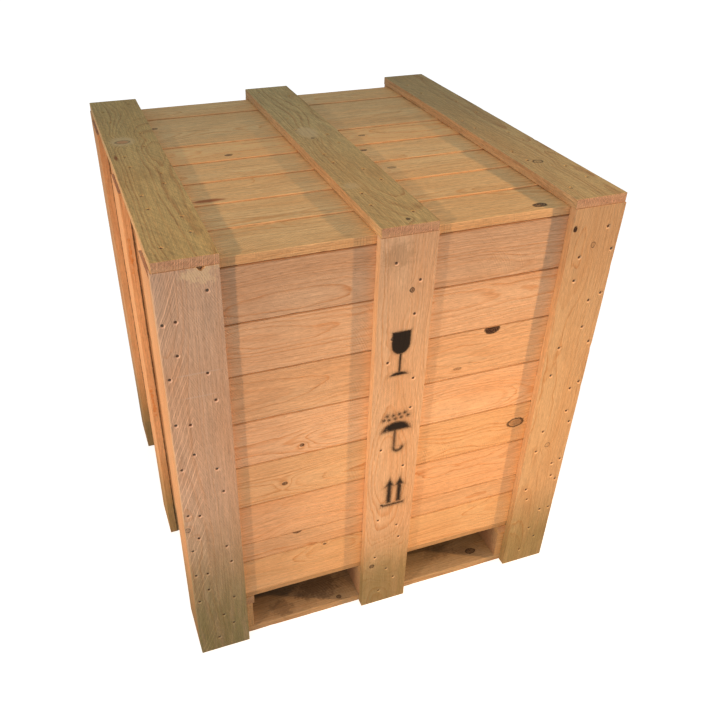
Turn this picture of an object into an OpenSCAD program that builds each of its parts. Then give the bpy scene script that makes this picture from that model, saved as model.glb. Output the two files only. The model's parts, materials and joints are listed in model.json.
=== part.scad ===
// Nailed softwood shipping crate on its own four-way pallet base.
// X runs to the right along the front, Y runs to the back and Z is up.
// The origin is on the floor, under the middle of the crate.

/* [Crate] */
// Width across the front, over the side battens
crate_w = 800; // [700:10:1000]
// Depth from front to back, over the front and back battens
crate_d = 800; // [790:10:1000]

/* [Battens] */
// Width of every batten
batten_w = 100; // [80:1:120]
// Thickness of every batten
batten_t = 17; // [16:1:22]
// How far the lid battens stop short of the crate's outer faces
lid_batten_inset = 1.5; // [0.5:0.5:4]

/* [Wall boards] */
// Width of a full board, measured from seam to seam
board_w = 98; // [90:1:105]
// Thickness of the wall boards and lid boards
board_t = 15; // [15:1:20]
// Full boards in each wall, counted from the top
full_boards = 6; // [4:1:6]
// Width of the narrow filler board
filler_w = 48; // [40:1:70]
// Width of the lowest board
sill_w = 93; // [80:1:105]
// Open seam between two boards
seam = 1.4; // [0.6:0.2:3]
// Seam above the filler board, which is pushed up tight
tight_seam = 0.4; // [0.2:0.2:1]

/* [Lid] */
// Narrow boards in front of the wide lid board
lid_front_boards = 5; // [3:1:5]
// Width of the one wide lid board
wide_board_w = 186; // [150:1:190]
// Gap between the walls' top edge and the lid boards
lid_gap = 2; // [1:0.5:4]
// Clearance between the lid boards and the wall battens around them
lid_clearance = 1; // [0.5:0.5:3]
// How far the lid boards' ends sit inside the outer side faces
lid_end_inset = 8; // [4:1:14]

/* [Sawn edges] */
// Width of the small flat along each timber's four long edges
arris = 0.8; // [0.4:0.2:1.2]

/* [Pallet base] */
// Thickness of the three bottom boards
bottom_board_t = 17; // [15:1:22]
// Height of the nine blocks
block_h = 73; // [60:1:100]
// Width and depth of a block
block_w = 98; // [80:1:110]
// Thickness of the three bearers that lie on the blocks
bearer_t = 22; // [20:1:30]
// Width of a bearer
bearer_w = 102; // [90:1:120]
// Thickness of the deck boards
deck_t = 12; // [12:1:18]
// Boards in the deck
deck_boards = 8; // [6:1:8]

/* [Nails] */
// Shank diameter
nail_d = 2.8; // [2.5:0.1:3]
// Head diameter
head_d = 6; // [5:0.5:7]
// Head thickness
head_t = 1.5; // [1:0.5:2]
// Length of a wall, lid or deck nail, head included
nail_len = 28; // [22:1:28]
// Length of the nails that hold the bearers on the blocks
long_nail_len = 50; // [40:1:60]
// How deep the head's top is sunk under the wood
sink = 2; // [1:0.5:2]

/* [Hidden] */
// Radial room around a nail's head and around its shank
pit_clearance = 0.4;
shank_clearance = 0.05;
// Room beyond a nail's tip, and how far a cutter starts outside the wood
tip_clearance = 0.5;
overcut = 1;
// Largest wander of a nail from its ruled place
nail_wander = 6;
$fn = 24;

WALL = ["front", "right", "back", "left"];
// Names of a wall's battens, from the left end to the right end as seen from outside
BATTEN = [
    ["left", "middle", "right"],
    ["front", "middle", "back"],
    ["right", "middle", "left"],
    ["back", "middle", "front"]
];
ENDS = [-1, 0, 1];

deck_top = bottom_board_t + block_h + bearer_t + deck_t;
bearer_top = deck_top - deck_t;
block_top = bearer_top - bearer_t;

// Seam-to-seam widths of a wall's boards from the top, and the height of each board's lower edge
row_w = concat([for (i = [1:full_boards]) board_w], [filler_w, sill_w]);
function sum_to(list, n) = n == 0 ? 0 : list[n - 1] + sum_to(list, n - 1);
wall_top = deck_top + sum_to(row_w, len(row_w));
function row_z(i) = wall_top - sum_to(row_w, i + 1);
function seam_above(i) = i == 0 ? 0 : i == full_boards ? tight_seam : seam;
function seam_below(i) = i == len(row_w) - 1 ? 0 : seam_above(i + 1);

lid_board_z = wall_top + lid_gap;
lid_batten_z = lid_board_z + board_t;

// Seam-to-seam widths of the lid boards from the front
lid_span = crate_d - 2 * batten_t - 2 * lid_clearance;
lid_rest_w = lid_span - lid_front_boards * board_w - wide_board_w;
lid_row_w = concat([for (i = [1:lid_front_boards]) board_w], [wide_board_w, lid_rest_w]);
function lid_row_y(i) = -lid_span / 2 + sum_to(lid_row_w, i);

// The front and back walls run the full width. The side walls fit between them.
function is_side(w) = w % 2 == 1;
function wall_half_depth(w) = is_side(w) ? crate_w / 2 : crate_d / 2;
function wall_half_len(w) = is_side(w) ? crate_d / 2 - batten_t : crate_w / 2;
function board_len(w) = 2 * (is_side(w) ? crate_d / 2 - batten_t - board_t : crate_w / 2 - batten_t);
function batten_u(w, b) = ENDS[b] * (wall_half_len(w) - batten_w / 2);
function batten_top(w) = is_side(w) ? wall_top : lid_batten_z;

base_w = crate_w - 2 * batten_t;
base_d = crate_d - 2 * batten_t;
function block_x(c) = ENDS[c] * (base_w - block_w) / 2;
function block_y(r) = ENDS[r] * (base_d - block_w) / 2;
function bearer_x(c) = ENDS[c] * (base_w - bearer_w) / 2;
deck_pitch = base_d / deck_boards;
function deck_y(i) = -base_d / 2 + (i + 0.5) * deck_pitch;

// Nails
// Each nail wanders by its own seed, made from its wall or kind, its batten, its board and its number
LID_KIND = 7;
EDGE_KIND = 5;
function wander(kind, b, i, k) =
    rands(-nail_wander, nail_wander, 2, 1000 * kind + 100 * b + 10 * i + k);
// Two nails cross each board at each batten, on a slant that changes from board to board
cross_u = 0.23 * batten_w;
cross_share = 0.22;
function slant(b, i) = (b + i) % 2 == 0 ? 1 : -1;
function cross_nail(w, b, i, k) =
    let (side = k == 0 ? -1 : 1, off = wander(w, b, i, k))
    [
        batten_u(w, b) + side * cross_u + off[0],
        row_z(i) + row_w[i] * (0.5 + slant(b, i) * side * cross_share) + off[1] * row_w[i] / board_w
    ];
// Three nails at each batten's foot: two reach the block and one reaches the bearer's end
foot_low = 0.25;
foot_high = 0.7;
foot_z = [
    bottom_board_t + foot_low * block_h,
    bottom_board_t + foot_high * block_h,
    block_top + bearer_t / 2
];
foot_u = [-0.5 * cross_u, 0.9 * cross_u, 0.1 * cross_u];
function foot_nail(w, b, k) = [batten_u(w, b) + foot_u[k], foot_z[k]];
// One nail beside each board goes through a corner batten into the side batten's edge
edge_share = 0.35;
function edge_nail(w, end, i) =
    let (off = wander(EDGE_KIND, w, i, end))
    [end * (crate_w / 2 - batten_t / 2), row_z(i) + row_w[i] * edge_share + off[1]];

rows = [0:len(row_w) - 1];
function batten_nails(w, b) = concat(
    [for (i = rows, k = [0, 1]) cross_nail(w, b, i, k)],
    [for (k = [0:2]) foot_nail(w, b, k)],
    is_side(w) || b == 1 ? [] : [for (i = rows) edge_nail(w, ENDS[b], i)]
);

last_lid_board = len(lid_row_w) - 1;
lid_top = lid_batten_z + batten_t;
lid_nail_x = 0.25 * batten_w;
function lid_batten_x(b) = ENDS[b] * (crate_w / 2 - lid_batten_inset - batten_w / 2);
function lid_nail(b, i, k) =
    let (side = k == 0 ? -1 : 1, off = wander(LID_KIND, b, i, k))
    [
        lid_batten_x(b) + side * lid_nail_x + off[0],
        lid_row_y(i) + lid_row_w[i] * (0.5 + slant(b, i) * side * cross_share) + off[1]
    ];

// The base's nails, from the middle of a block, a bearer and a deck board
block_nail = 0.2 * block_w;
deck_nail_x = 0.25 * bearer_w;
deck_nail_y = 0.25 * deck_pitch;

// Moves a wall's own frame into place: u to its right, depth inwards from its outer face, z up
module on_wall(w) {
    rotate([0, 0, 90 * w]) translate([0, -wall_half_depth(w), 0]) children();
}

// The timber's end, seen along its grain
module timber_end(across, up) {
    polygon([
        [arris, 0], [across - arris, 0], [across, arris], [across, up - arris],
        [across - arris, up], [arris, up], [0, up - arris], [0, arris]
    ]);
}

// A sawn timber that fills a box from the origin, with its grain along the axis that is named
module timber(size, grain) {
    if (grain == "x") rotate([90, 0, 90]) linear_extrude(size[0]) timber_end(size[1], size[2]);
    if (grain == "y") translate([0, size[1], 0])
        rotate([90, 0, 0]) linear_extrude(size[1]) timber_end(size[0], size[2]);
    if (grain == "z") linear_extrude(size[2]) timber_end(size[0], size[1]);
}

// A nail driven along +Z from the surface at z = 0
module nail(length) {
    translate([0, 0, sink]) {
        cylinder(d = head_d, h = head_t);
        cylinder(d = nail_d, h = length);
    }
}

// The pit over a nail's head and the hole for its shank
module nail_hole(length) {
    translate([0, 0, -overcut])
        cylinder(d = head_d + 2 * pit_clearance, h = overcut + sink + head_t);
    cylinder(d = nail_d + 2 * shank_clearance, h = sink + length + tip_clearance);
}

module wall_nail_holes(w, places) {
    on_wall(w) for (p = places) translate([p[0], 0, p[1]]) rotate([-90, 0, 0]) nail_hole(nail_len);
}

module wall_board(w, i) {
    low = row_z(i) + seam_below(i) / 2;
    high = row_z(i) + row_w[i] - seam_above(i) / 2;
    color("burlywood") difference() {
        on_wall(w) translate([-board_len(w) / 2, batten_t, low])
            timber([board_len(w), board_t, high - low], "x");
        wall_nail_holes(w, [for (b = [0:2], k = [0, 1]) cross_nail(w, b, i, k)]);
    }
}

module wall_batten(w, b) {
    color("tan") difference() {
        on_wall(w) translate([batten_u(w, b) - batten_w / 2, 0, 0])
            timber([batten_w, batten_t, batten_top(w)], "z");
        wall_nail_holes(w, batten_nails(w, b));
        if (is_side(w) && b != 1) side_edge_holes(w, b);
    }
}

// Holes in a side batten's edge for the nails that come through the front or back batten
module side_edge_holes(w, b) {
    face = BATTEN[w][b] == "front" ? 0 : 2;
    end = (w == 1 ? 1 : -1) * (face == 0 ? 1 : -1);
    wall_nail_holes(face, [for (i = rows) edge_nail(face, end, i)]);
}

module lid_nail_holes(places) {
    for (p = places) translate([p[0], p[1], lid_top]) rotate([180, 0, 0]) nail_hole(nail_len);
}

module lid_board(i) {
    near = i == 0 ? 0 : seam / 2;
    far = i == last_lid_board ? 0 : seam / 2;
    length = crate_w - 2 * lid_end_inset;
    color("darkkhaki") difference() {
        translate([-length / 2, lid_row_y(i) + near, lid_board_z])
            timber([length, lid_row_w[i] - near - far, board_t], "x");
        lid_nail_holes([for (b = [0:2], k = [0, 1]) lid_nail(b, i, k)]);
    }
}

module lid_batten(b) {
    length = crate_d - 2 * lid_batten_inset;
    color("darkkhaki") difference() {
        translate([lid_batten_x(b) - batten_w / 2, -length / 2, lid_batten_z])
            timber([batten_w, length, batten_t], "y");
        lid_nail_holes([for (i = [0:last_lid_board], k = [0, 1]) lid_nail(b, i, k)]);
    }
}

// Places two nails at each block, on the block's diagonal
module at_block_nails(z) {
    for (c = [0:2], r = [0:2], s = [-1, 1])
        translate([block_x(c) + s * block_nail, block_y(r) + s * block_nail, z]) children();
}

module at_deck_nails() {
    for (c = [0:2], i = [0:deck_boards - 1], s = [-1, 1])
        translate([bearer_x(c) + s * deck_nail_x, deck_y(i) + s * deck_nail_y, deck_top]) children();
}

module at_foot_nails() {
    for (w = [0:3], b = [0:2], k = [0:2]) {
        p = foot_nail(w, b, k);
        on_wall(w) translate([p[0], 0, p[1]]) rotate([-90, 0, 0]) children();
    }
}

module bottom_boards() {
    color("peru") difference() {
        for (r = [0:2]) translate([-base_w / 2, block_y(r) - block_w / 2, 0])
            timber([base_w, block_w, bottom_board_t], "x");
        at_block_nails(0) nail_hole(nail_len);
    }
}

module blocks() {
    color("sandybrown") difference() {
        for (c = [0:2], r = [0:2])
            translate([block_x(c) - block_w / 2, block_y(r) - block_w / 2, bottom_board_t])
                timber([block_w, block_w, block_h], "x");
        at_block_nails(0) nail_hole(nail_len);
        at_block_nails(bearer_top) rotate([180, 0, 0]) nail_hole(long_nail_len);
        at_foot_nails() nail_hole(nail_len);
    }
}

module bearers() {
    color("peru") difference() {
        for (c = [0:2]) translate([bearer_x(c) - bearer_w / 2, -base_d / 2, block_top])
            timber([bearer_w, base_d, bearer_t], "y");
        at_block_nails(bearer_top) rotate([180, 0, 0]) nail_hole(long_nail_len);
        at_deck_nails() rotate([180, 0, 0]) nail_hole(nail_len);
        at_foot_nails() nail_hole(nail_len);
    }
}

module deck_boards() {
    color("wheat") difference() {
        for (i = [0:deck_boards - 1])
            translate([-base_w / 2, deck_y(i) - deck_pitch / 2 + seam / 2, bearer_top])
                timber([base_w, deck_pitch - seam, deck_t], "x");
        at_deck_nails() rotate([180, 0, 0]) nail_hole(nail_len);
    }
}

module body_nails() {
    color("dimgray") {
        for (w = [0:3], b = [0:2]) on_wall(w)
            for (p = batten_nails(w, b)) translate([p[0], 0, p[1]]) rotate([-90, 0, 0]) nail(nail_len);
        at_block_nails(0) nail(nail_len);
        at_block_nails(bearer_top) rotate([180, 0, 0]) nail(long_nail_len);
        at_deck_nails() rotate([180, 0, 0]) nail(nail_len);
    }
}

module lid_nails() {
    color("dimgray") for (b = [0:2], i = [0:last_lid_board], k = [0, 1]) {
        p = lid_nail(b, i, k);
        translate([p[0], p[1], lid_top]) rotate([180, 0, 0]) nail(nail_len);
    }
}

for (w = [0:3], i = rows)
    wall_board(w, i);
for (w = [0:3], b = [0:2])
    wall_batten(w, b);
for (i = [0:last_lid_board]) lid_board(i);
for (b = [0:2]) lid_batten(b);
bottom_boards();
blocks();
bearers();
deck_boards();
body_nails();
lid_nails();
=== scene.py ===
# %% [markdown]
# # A nailed softwood crate
#
# The real crate is a box of sawn pine boards, held by wide battens and stood on its own pallet
# base. Its exact shape comes from CAD and is loaded here as a fixed frame. This lesson sets up the
# camera and the light, and then gives each timber its worn, sawn body and its wood.
#
# Everything is in metres. X runs to the right along the front, Y to the back and Z up.

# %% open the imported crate
import json
import math

import bmesh
import bpy
import numpy as np
from mathutils import Matrix, Vector

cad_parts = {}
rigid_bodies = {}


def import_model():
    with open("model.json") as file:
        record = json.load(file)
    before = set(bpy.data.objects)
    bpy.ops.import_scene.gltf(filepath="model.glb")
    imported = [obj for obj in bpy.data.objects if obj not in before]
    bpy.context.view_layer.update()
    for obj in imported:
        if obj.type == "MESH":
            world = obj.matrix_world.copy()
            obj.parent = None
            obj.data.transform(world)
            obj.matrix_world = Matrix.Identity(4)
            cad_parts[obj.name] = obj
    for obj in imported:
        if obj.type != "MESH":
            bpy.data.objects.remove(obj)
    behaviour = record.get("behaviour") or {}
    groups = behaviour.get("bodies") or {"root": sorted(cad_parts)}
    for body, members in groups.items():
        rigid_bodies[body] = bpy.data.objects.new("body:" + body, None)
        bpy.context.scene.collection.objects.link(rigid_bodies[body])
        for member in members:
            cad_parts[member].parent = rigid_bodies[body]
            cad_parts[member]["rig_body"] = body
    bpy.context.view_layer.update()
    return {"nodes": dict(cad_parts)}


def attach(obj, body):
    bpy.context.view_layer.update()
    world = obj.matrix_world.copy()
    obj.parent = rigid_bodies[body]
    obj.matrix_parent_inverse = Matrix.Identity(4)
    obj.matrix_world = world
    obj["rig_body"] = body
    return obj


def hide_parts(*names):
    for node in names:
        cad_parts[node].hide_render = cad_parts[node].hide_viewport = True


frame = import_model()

print("nodes from CAD:", len(frame["nodes"]))

# %% [markdown]
# ## The camera
#
# The photographer stood at the front left corner and looked down on the lid. The place, the turn
# and the lens below were worked out from the crate's own straight edges. The picture is cut a
# little off the lens's middle, and the two small shifts give that back.

# %% set up the camera
def add_object(name, data):
    """A new object in the scene."""
    made = bpy.data.objects.new(name, data)
    bpy.context.scene.collection.objects.link(made)
    return made


look_right = Vector((0.939720, -0.341787, 0.010399))
look_down = Vector((-0.190064, -0.547366, -0.815026))
look_ahead = Vector((0.284258, 0.763919, -0.579332))
EYE = (-0.49366, -1.37500, 1.37849)

camera = add_object("camera", bpy.data.cameras.new("camera"))
camera.matrix_world = Matrix.Translation(EYE) @ (
    Matrix((look_right, -look_down, -look_ahead)).transposed().to_4x4()
)
camera.data.lens = 38.379
camera.data.sensor_width = 36
camera.data.shift_x = 0.0424
camera.data.shift_y = 0.0190
bpy.context.scene.camera = camera
print("camera height in m:", round(camera.location.z, 2))

# %% [markdown]
# ## Shader tools
#
# Wood needs many small sums on masks and places. The `Bench` below is a short way to set out
# shader nodes: it takes numbers or sockets and joins them up. An effect that several finishes
# share becomes a node group, and `new_group` makes an empty one.

# %% a bench for shader nodes
NODE_GAP = 180
MIX_SHARE, MIX_FIRST, MIX_SECOND, MIXED = 0, 6, 7, 2
ORIGIN, UNIT = (0, 0, 0), (1, 1, 1)


class Bench:
    """Sets out nodes in a tree and joins them."""

    def __init__(self, tree):
        self.tree = tree
        self.column = 0

    def join(self, value, socket):
        if isinstance(value, bpy.types.NodeSocket):
            self.tree.links.new(value, socket)
        else:
            socket.default_value = value

    def node(self, kind, *values, **settings):
        """A new node with its settings, and with values for its first inputs."""
        made = self.tree.nodes.new(kind)
        made.location = (self.column * NODE_GAP, 0)
        self.column += 1
        for key, value in settings.items():
            setattr(made, key, value)
        for value, socket in zip(values, made.inputs):
            self.join(value, socket)
        return made

    def give(self, made, **values):
        """Gives a node its named inputs, with _ for a space, and returns its outputs."""
        for key, value in values.items():
            self.join(value, made.inputs[key.replace("_", " ")])
        return made.outputs

    def math(self, operation, *values, clamp=False):
        return self.node("ShaderNodeMath", *values, operation=operation, use_clamp=clamp).outputs[0]

    def chain(self, operation, *values):
        """The same sum for all values in a row, from the first to the last."""
        result = values[0]
        for value in values[1:]:
            result = self.math(operation, result, value)
        return result

    def total(self, *values):
        return self.chain("ADD", *values)

    def product(self, *values):
        return self.chain("MULTIPLY", *values)

    def most(self, *values):
        return self.chain("MAXIMUM", *values)

    def less(self, value, taken):
        return self.math("SUBTRACT", value, taken)

    def swing(self, value, most):
        """A value from 0 to 1 as a swing both ways from nothing, `most` wide in all."""
        return self.product(self.less(value, 0.5), most)

    def vector(self, operation, *values):
        made = self.node("ShaderNodeVectorMath", *values, operation=operation)
        return made.outputs["Value" if operation == "LENGTH" else "Vector"]

    def split(self, place):
        return list(self.node("ShaderNodeSeparateXYZ", place).outputs)

    def noise(self, place, scale, detail=2, rough=0.5):
        """Noise of one scale, or of three, for the three directions of a place."""
        if isinstance(scale, tuple):
            place, scale = self.vector("MULTIPLY", place, scale), 1
        made = self.node("ShaderNodeTexNoise")
        return self.give(made, Vector=place, Scale=scale, Detail=detail, Roughness=rough)["Fac"]

    def chance(self, number):
        """A random share for each whole number."""
        return self.give(self.node("ShaderNodeTexWhiteNoise", noise_dimensions="1D"), W=number)["Value"]

    def fade(self, value, start, stop, low=0, high=1):
        """A smooth change from low to high while the value goes from start to stop."""
        made = self.node("ShaderNodeMapRange", interpolation_type="SMOOTHSTEP")
        ends = dict(From_Min=start, From_Max=stop, To_Min=low, To_Max=high)
        return self.give(made, Value=value, **ends)["Result"]

    def blend(self, share, first, second):
        made = self.node("ShaderNodeMix", data_type="RGBA")
        self.join(share, made.inputs[MIX_SHARE])
        self.join(first, made.inputs[MIX_FIRST])
        self.join(second, made.inputs[MIX_SECOND])
        return made.outputs[MIXED]

    def lay(self, colour, over, mask, share):
        """Lays a second colour over the first, where the mask is and as strong as the share."""
        return self.blend(self.product(mask, share), colour, over)

    def group(self, tree, **values):
        return self.give(self.node("ShaderNodeGroup", node_tree=tree), **values)

    def deliver(self, out, **values):
        """Gives a group its outputs, and says how many nodes it took."""
        self.give(out, **values)
        print(self.tree.name, "has", len(self.tree.nodes), "nodes")

    def stored(self, name, output="Vector"):
        return self.node("ShaderNodeAttribute", attribute_name=name).outputs[output]


def new_group(name, inputs, outputs):
    """An empty node group with named sockets: its tree, its bench, its inputs and its output node."""
    tree = bpy.data.node_groups.new(name, "ShaderNodeTree")
    for label, value in inputs.items():
        kind = "NodeSocketVector" if isinstance(value, tuple) else "NodeSocketFloat"
        tree.interface.new_socket(label, in_out="INPUT", socket_type=kind).default_value = value
    for label in outputs:
        tree.interface.new_socket(label, in_out="OUTPUT", socket_type="NodeSocketFloat")
    bench = Bench(tree)
    given = bench.node("NodeGroupInput").outputs
    return tree, bench, given, bench.node("NodeGroupOutput")


def new_material(name):
    """A new material, its bench and its shader."""
    made = bpy.data.materials.new(name)
    made.use_nodes = True
    return made, Bench(made.node_tree), made.node_tree.nodes["Principled BSDF"]


print("the bench is ready")

# %% [markdown]
# ## Floor and light
#
# The floor is a plain pale sheet. Seen directly it glows a little, as a lit studio floor does, so
# that it stays even and pale all round, while the light that it throws back on the crate stays low.

# %% lay the floor
REACH = 14
floor_mesh = bpy.data.meshes.new("floor")
corners = [(-REACH, -REACH, 0), (REACH, -REACH, 0), (REACH, REACH, 0), (-REACH, REACH, 0)]
floor_mesh.from_pydata(corners, [], [(0, 1, 2, 3)])
floor = add_object("floor", floor_mesh)

pale, b, sheet = new_material("pale_floor")
seen = b.node("ShaderNodeLightPath").outputs["Is Camera Ray"]
b.give(
    sheet, Roughness=0.9, Base_Color=b.blend(seen, (0.40, 0.40, 0.39, 1), (0.80, 0.80, 0.79, 1)),
    Emission_Color=(1, 0.97, 0.95, 1), Emission_Strength=b.fade(seen, 0, 1, 0.16, 0.80),
)
floor_mesh.materials.append(pale)
print("floor laid,", 2 * REACH, "m across")

# %% [markdown]
# The crate stood in a cool, even room light, between warm lamps: a pair that shine down on it from
# the left and the right, one that skims its left side, and two beside the camera. They leave a
# warm pool in the middle of the front and bands of shade beside the battens. Each lamp has some
# width, so those bands have soft edges.

# %% hang the lamps
def lamp(name, place, target, cone, width, power, colour):
    """A soft round lamp that faces a point. Its cone is in degrees and fades out to its edge."""
    light = bpy.data.lights.new(name, "SPOT")
    light.spot_size = math.radians(cone)
    light.spot_blend = 1
    light.shadow_soft_size = width / 2
    light.energy = power
    light.color = colour
    holder = add_object(name, light)
    holder.location = place
    holder.rotation_euler = (Vector(target) - Vector(place)).to_track_quat("-Z", "Y").to_euler()
    print(name, "hangs at", place)


lamp("left_lamp", (-2.40, -1.75, 1.78), (-0.25, -0.40, 0.55), 32, 0.14, 160, (1, 0.62, 0.37))
lamp("side_lamp", (-2.50, -0.75, 0.78), (-0.40, 0.00, 0.50), 38, 0.20, 105, (1, 0.80, 0.50))
lamp("right_lamp", (2.35, -1.45, 1.68), (0.30, -0.40, 0.50), 32, 0.12, 240, (1, 0.59, 0.28))
lamp("camera_lamp", (-0.30, -1.90, 1.30), (0.15, -0.38, 0.42), 34, 0.40, 22, (1, 0.50, 0.08))
lamp("low_lamp", (0.30, -2.30, 1.40), (0.18, -0.38, 0.26), 24, 0.40, 65, (1, 0.50, 0.08))

room = bpy.data.worlds.new("room")
room.use_nodes = True
room_light = room.node_tree.nodes["Background"].inputs
room_light["Color"].default_value = (0.81, 0.91, 1, 1)
room_light["Strength"].default_value = 0.43
bpy.context.scene.world = room
bpy.context.scene.view_settings.view_transform = "Standard"

# %% [markdown]
# ## Sawn timber
#
# A sawn board is never a perfect block. Its arrises are a little rounded and chipped, and its
# edges wander by a few tenths of a millimetre. One could bevel a block and add noise to it, but
# then each board would be worn the same all over. Instead each timber is built from rings of
# points along its grain, and each of its four arrises gets its own line of wear.
#
# Every wander goes inwards, so a timber never grows out of its CAD box.

# %% wear along one line of a timber
CHIP_HALF = (0.003, 0.010)
SHALLOWEST_CHIP = 0.3


def wander(dice, places, reach, most):
    """A random line that bends every `reach` metres, between 0 and `most`."""
    stops = np.arange(0, places[-1] + 2 * reach, reach)
    return np.interp(places, stops, dice.uniform(0, most, len(stops)))


def chips(dice, places, each_metre, most):
    """Short bites out of an arris: how deep they go at each place."""
    bite = np.zeros(len(places))
    for _ in range(dice.poisson(each_metre * places[-1])):
        middle, half = dice.uniform(0, places[-1]), dice.uniform(*CHIP_HALF)
        share = np.clip(1 - np.abs(places - middle) / half, 0, 1)
        bite = np.maximum(bite, share * dice.uniform(SHALLOWEST_CHIP, 1) * most)
    return bite


print("the longest chip is", CHIP_HALF[1] * 2000, "mm long")

# %% [markdown]
# The grain of a timber runs along its length. `AXES` gives, for each grain direction, which
# coordinates go across, up and along, so that one recipe makes all the timbers. A ring has three
# points at each arris: one on either face and one on the rounded corner between them.

# %% build one timber from rings
AXES = {"x": (1, 2, 0), "y": (2, 0, 1), "z": (0, 1, 2)}
CORNERS = [(1, 1), (-1, 1), (-1, -1), (1, -1)]
RING_STEP, UNEVEN_STEP = 0.009, 0.3
END_ROUND = 0.0005
# A drift bends every so many metres, and takes off so much at the most.
SLOW_DRIFT, QUICK_DRIFT = (0.11, 0.0005), (0.03, 0.00015)
THINNED = 0.00025
ARRIS, ARRIS_BENDS, ARRIS_WORN, ARRIS_MIDDLE = 0.0004, 0.04, 0.0007, 0.3
CHIPS_EACH_METRE, CHIP_DEPTH = 3, 0.0022


def timber_rings(low, high, grain, dice, wear, fall):
    """The rings of points of one timber, as an array of ring, point and coordinate."""
    across, up, along = AXES[grain]
    size = np.array(high) - np.array(low)
    length = size[along]
    steps = max(4, int(length / RING_STEP))
    places = np.linspace(END_ROUND, length - END_ROUND, steps)
    places[1:-1] += dice.uniform(-UNEVEN_STEP, UNEVEN_STEP, steps - 2) * RING_STEP / 2
    wide = size[across] > size[up]

    # The two narrow edges wander, and the two wide faces lie a little below the full thickness.
    edge = {s: wander(dice, places, *SLOW_DRIFT) + wander(dice, places, *QUICK_DRIFT) for s in (-1, 1)}
    face = {s: np.full(steps, dice.uniform(0, THINNED)) for s in (-1, 1)}
    rings = np.zeros((steps, 12, 3))
    for number, (a, u) in enumerate(CORNERS):
        give_a = edge[a] if wide else face[a]
        give_u = (face[u] if wide else edge[u]) + (fall if (a, u) == (1, 1) else 0)
        corner_a = a * (size[across] / 2 - give_a)
        corner_u = u * (size[up] / 2 - give_u)
        rubbed = wander(dice, places, ARRIS_BENDS, ARRIS_WORN * wear)
        round_off = ARRIS + rubbed + chips(dice, places, CHIPS_EACH_METRE * wear, CHIP_DEPTH)
        points = [
            (corner_a, corner_u - u * round_off),
            (corner_a - ARRIS_MIDDLE * a * round_off, corner_u - ARRIS_MIDDLE * u * round_off),
            (corner_a - a * round_off, corner_u),
        ]
        if number % 2:
            points.reverse()
        for k, (pa, pu) in enumerate(points):
            rings[:, 3 * number + k, across] = pa
            rings[:, 3 * number + k, up] = pu
            rings[:, 3 * number + k, along] = places - length / 2

    # One more ring at each end, drawn in, rounds the sawn end.
    ends = rings[[0, -1]].copy()
    for end, sign in zip(ends, (-1, 1)):
        end[:, [across, up]] *= 1 - END_ROUND / (size[[across, up]] / 2)
        end[:, along] = sign * length / 2
    rings = np.concatenate([ends[:1], rings, ends[1:]])
    return rings + (np.array(low) + np.array(high)) / 2


print("a ring has 12 points, and rings lie", RING_STEP * 1000, "mm apart")

# %% join rings into a mesh
def closed_mesh(name, tubes):
    """One mesh of closed tubes. Each tube is a stack of rings of points, capped at both ends."""
    points, faces = [], []
    for rings in tubes:
        count, around = rings.shape[:2]
        starts = [len(points) + i * around for i in range(count)]
        for low, high in zip(starts, starts[1:]):
            for j in range(around):
                k = (j + 1) % around
                faces.append((low + j, low + k, high + k, high + j))
        faces.append(tuple(range(starts[0], starts[0] + around))[::-1])
        faces.append(tuple(range(starts[-1], starts[-1] + around)))
        points += rings.reshape(-1, 3).tolist()
    mesh = bpy.data.meshes.new(name)
    mesh.from_pydata(points, [], faces)
    return mesh


def store(mesh, label, values, where="POINT"):
    """Writes a number, or a row of three, on each point or each face of a mesh."""
    kind, field = ("FLOAT_VECTOR", "vector") if np.ndim(values) == 2 else ("FLOAT", "value")
    layer = mesh.attributes.new(label, kind, where)
    layer.data.foreach_set(field, np.asarray(values, np.float32).ravel())


def timber_mesh(name, rings):
    """The mesh of a timber, with a worn value of 1 on its arrises: wear, and on the lid a painted
    highlight.
    """
    mesh = closed_mesh(name, [rings])
    store(mesh, "worn", np.tile([0, 1, 0] * len(CORNERS), len(rings)))
    return mesh


print("one point in three lies on an arris and is worn")

# %% [markdown]
# ## Nail pits
#
# The nails were punched below the surface, so each leaves a small dark pit with its head at the
# bottom. The nails are CAD pieces and stay as they are. Their places are read from their own
# meshes, and a slightly ragged plug of the pit's shape is cut out of the timber over each head.

# %% find the loose pieces of a CAD node
SAME_POINT, SAME_END = 1e-6, 1e-4


def loose_parts(node):
    """The points of each separate solid in a CAD node."""
    work = bmesh.new()
    work.from_mesh(frame["nodes"][node].data)
    bmesh.ops.remove_doubles(work, verts=work.verts, dist=SAME_POINT)
    unseen, parts = set(work.verts), []
    while unseen:
        edge_of_search = [unseen.pop()]
        part = []
        while edge_of_search:
            point = edge_of_search.pop()
            part.append(tuple(point.co))
            for edge in point.link_edges:
                other = edge.other_vert(point)
                if other in unseen:
                    unseen.remove(other)
                    edge_of_search.append(other)
        parts.append(np.array(part))
    work.free()
    return sorted(parts, key=lambda p: tuple(np.round(p.mean(0), 4)))


def head_of(points):
    """The middle of a nail's head, and the direction from its tip to its head."""
    size = np.ptp(points, axis=0)
    along = int(size.argmax())
    far = points[:, along]
    ends = [points[np.abs(far - edge) < SAME_END] for edge in (far.min(), far.max())]
    top = max((0, 1), key=lambda k: np.ptp(ends[k], axis=0).max())
    out = np.zeros(3)
    out[along] = 1 if top else -1
    return ends[top].mean(0), out


nail_heads = [head_of(p) for node in ("body_nails", "lid_nails") for p in loose_parts(node)]
print("nails found:", len(nail_heads))

# %% cut the pits
PIT_SIDES, PIT_RAGGED = 14, (0.95, 1.18)
SINK, HEAD_THICK = 0.002, 0.0015
# Height over the surface and radius at each level. The top one stands clear of the timber.
PIT_LEVELS = [(0.003, 0.0088), (0, 0.0046), (-0.0013, 0.0026), (-SINK - HEAD_THICK, 0.0026)]


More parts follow.
